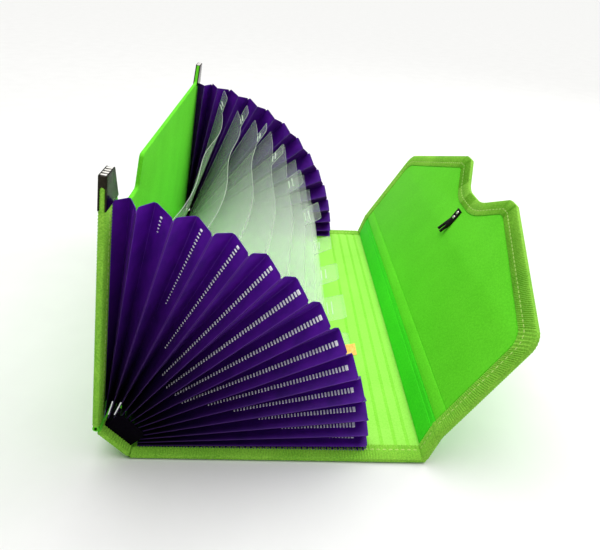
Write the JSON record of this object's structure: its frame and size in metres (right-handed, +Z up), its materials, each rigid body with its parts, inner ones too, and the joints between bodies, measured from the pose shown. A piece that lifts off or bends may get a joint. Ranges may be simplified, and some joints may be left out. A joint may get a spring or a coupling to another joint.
{
  "type": "expanding file",
  "caption": "Expanding file with a fan of pleated pockets between cloth-covered boards, index tabs, metal corners and a folding flap with a clasp.",
  "frame": {"origin": "centre of the back cover's underside, on the table", "axes": "+X from the spine towards the flap, +Y along the width, +Z up"},
  "size_m": [0.2041, 0.26, 0.1334],
  "materials": {
    "cover_cloth": "matte lime cloth",
    "edge_tape": "ribbed lime tape",
    "pleat_sheet": "satin purple sheet",
    "divider_sheet": "milky translucent sheet",
    "dark_bronze": "dark antique bronze",
    "bright_steel": "bright rivet",
    "label_paper": "orange card"
  },
  "bodies": {
    "back_cover": {"back_cover_board": "cover_cloth", "back_cover_tape": "edge_tape", "pleat_00": "pleat_sheet"},
    "spine": {"spine_board": "cover_cloth", "spine_tape": "edge_tape"},
    "divider_01": {"divider_01": "divider_sheet", "pleat_01": "pleat_sheet"},
    "divider_02": {"divider_02": "divider_sheet", "pleat_02": "pleat_sheet"},
    "divider_03": {"divider_03": "divider_sheet", "pleat_03": "pleat_sheet", "index_label": "label_paper"},
    "divider_04": {"divider_04": "divider_sheet", "pleat_04": "pleat_sheet"},
    "divider_05": {"divider_05": "divider_sheet", "pleat_05": "pleat_sheet"},
    "divider_06": {"divider_06": "divider_sheet", "pleat_06": "pleat_sheet"},
    "divider_07": {"divider_07": "divider_sheet", "pleat_07": "pleat_sheet"},
    "divider_08": {"divider_08": "divider_sheet", "pleat_08": "pleat_sheet"},
    "divider_09": {"divider_09": "divider_sheet", "pleat_09": "pleat_sheet"},
    "divider_10": {"divider_10": "divider_sheet", "pleat_10": "pleat_sheet"},
    "divider_11": {"divider_11": "divider_sheet", "pleat_11": "pleat_sheet"},
    "divider_12": {"divider_12": "divider_sheet", "pleat_12": "pleat_sheet"},
    "front_cover": {"front_cover_board": "cover_cloth", "front_cover_tape": "edge_tape", "metal_corner_near": "dark_bronze", "metal_corner_far": "dark_bronze", "clasp_keeper": "dark_bronze", "pleat_13": "pleat_sheet"},
    "flap_strip": {"flap_strip_board": "cover_cloth", "flap_strip_tape": "edge_tape"},
    "flap": {"flap_board": "cover_cloth", "flap_tape": "edge_tape", "clasp_tongue": "dark_bronze", "clasp_rivets": "bright_steel"}
  },
  "joints": [
    {"name": "front_fold", "type": "hinge", "parent": "back_cover", "child": "front_cover", "pos_m": [-0.07093, 0, 0.0115], "axis": [0, -1, 0], "range_deg": [-82, 8], "deforming": ["pleat_13"]},
    {"name": "divider_01_fold", "type": "hinge", "parent": "back_cover", "child": "divider_01", "pos_m": [-0.07093, 0, 0.0115], "axis": [0, -1, 0], "range_deg": [-1.3, 0.13], "deforming": ["pleat_01", "pleat_00"]},
    {"name": "divider_02_fold", "type": "hinge", "parent": "back_cover", "child": "divider_02", "pos_m": [-0.07093, 0, 0.0115], "axis": [0, -1, 0], "range_deg": [-4.36, 0.43], "deforming": ["pleat_02"]},
    {"name": "divider_03_fold", "type": "hinge", "parent": "back_cover", "child": "divider_03", "pos_m": [-0.07093, 0, 0.0115], "axis": [0, -1, 0], "range_deg": [-8.75, 0.85], "deforming": ["pleat_03"]},
    {"name": "divider_04_fold", "type": "hinge", "parent": "back_cover", "child": "divider_04", "pos_m": [-0.07093, 0, 0.0115], "axis": [0, -1, 0], "range_deg": [-14.16, 1.38], "deforming": ["pleat_04"]},
    {"name": "divider_05_fold", "type": "hinge", "parent": "back_cover", "child": "divider_05", "pos_m": [-0.07093, 0, 0.0115], "axis": [0, -1, 0], "range_deg": [-20.39, 1.99], "deforming": ["pleat_05"]},
    {"name": "divider_06_fold", "type": "hinge", "parent": "back_cover", "child": "divider_06", "pos_m": [-0.07093, 0, 0.0115], "axis": [0, -1, 0], "range_deg": [-27.24, 2.66], "deforming": ["pleat_06"]},
    {"name": "divider_07_fold", "type": "hinge", "parent": "back_cover", "child": "divider_07", "pos_m": [-0.07093, 0, 0.0115], "axis": [0, -1, 0], "range_deg": [-34.53, 3.37], "deforming": ["pleat_07"]},
    {"name": "divider_08_fold", "type": "hinge", "parent": "back_cover", "child": "divider_08", "pos_m": [-0.07093, 0, 0.0115], "axis": [0, -1, 0], "range_deg": [-42.11, 4.11], "deforming": ["pleat_08"]},
    {"name": "divider_09_fold", "type": "hinge", "parent": "back_cover", "child": "divider_09", "pos_m": [-0.07093, 0, 0.0115], "axis": [0, -1, 0], "range_deg": [-49.82, 4.86], "deforming": ["pleat_09"]},
    {"name": "divider_10_fold", "type": "hinge", "parent": "back_cover", "child": "divider_10", "pos_m": [-0.07093, 0, 0.0115], "axis": [0, -1, 0], "range_deg": [-57.53, 5.61], "deforming": ["pleat_10"]},
    {"name": "divider_11_fold", "type": "hinge", "parent": "back_cover", "child": "divider_11", "pos_m": [-0.07093, 0, 0.0115], "axis": [0, -1, 0], "range_deg": [-65.1, 6.35], "deforming": ["pleat_11"]},
    {"name": "divider_12_fold", "type": "hinge", "parent": "back_cover", "child": "divider_12", "pos_m": [-0.07093, 0, 0.0115], "axis": [0, -1, 0], "range_deg": [-72.4, 7.06], "deforming": ["pleat_12"]},
    {"name": "spine_fold", "type": "hinge", "parent": "back_cover", "child": "spine", "pos_m": [-0.067, 0, 0.001], "axis": [0, -1, 0], "range_deg": [-41, 4]},
    {"name": "strip_fold", "type": "hinge", "parent": "back_cover", "child": "flap_strip", "pos_m": [0.067, 0, 0.001], "axis": [0, -1, 0], "range_deg": [-55, 19]},
    {"name": "flap_fold", "type": "hinge", "parent": "flap_strip", "child": "flap", "pos_m": [0.07221, 0, 0.01613], "axis": [0, -1, 0], "range_deg": [-3, 36]}
  ],
  "couplings": [
    {"joint": "divider_01_fold", "follows": "front_fold", "ratio": 0.015807},
    {"joint": "divider_02_fold", "follows": "front_fold", "ratio": 0.053228},
    {"joint": "divider_03_fold", "follows": "front_fold", "ratio": 0.10667},
    {"joint": "divider_04_fold", "follows": "front_fold", "ratio": 0.17272},
    {"joint": "divider_05_fold", "follows": "front_fold", "ratio": 0.24866},
    {"joint": "divider_06_fold", "follows": "front_fold", "ratio": 0.33216},
    {"joint": "divider_07_fold", "follows": "front_fold", "ratio": 0.42109},
    {"joint": "divider_08_fold", "follows": "front_fold", "ratio": 0.51351},
    {"joint": "divider_09_fold", "follows": "front_fold", "ratio": 0.6076},
    {"joint": "divider_10_fold", "follows": "front_fold", "ratio": 0.70163},
    {"joint": "divider_11_fold", "follows": "front_fold", "ratio": 0.79393},
    {"joint": "divider_12_fold", "follows": "front_fold", "ratio": 0.88293},
    {"joint": "spine_fold", "follows": "front_fold", "ratio": 0.5}
  ]
}
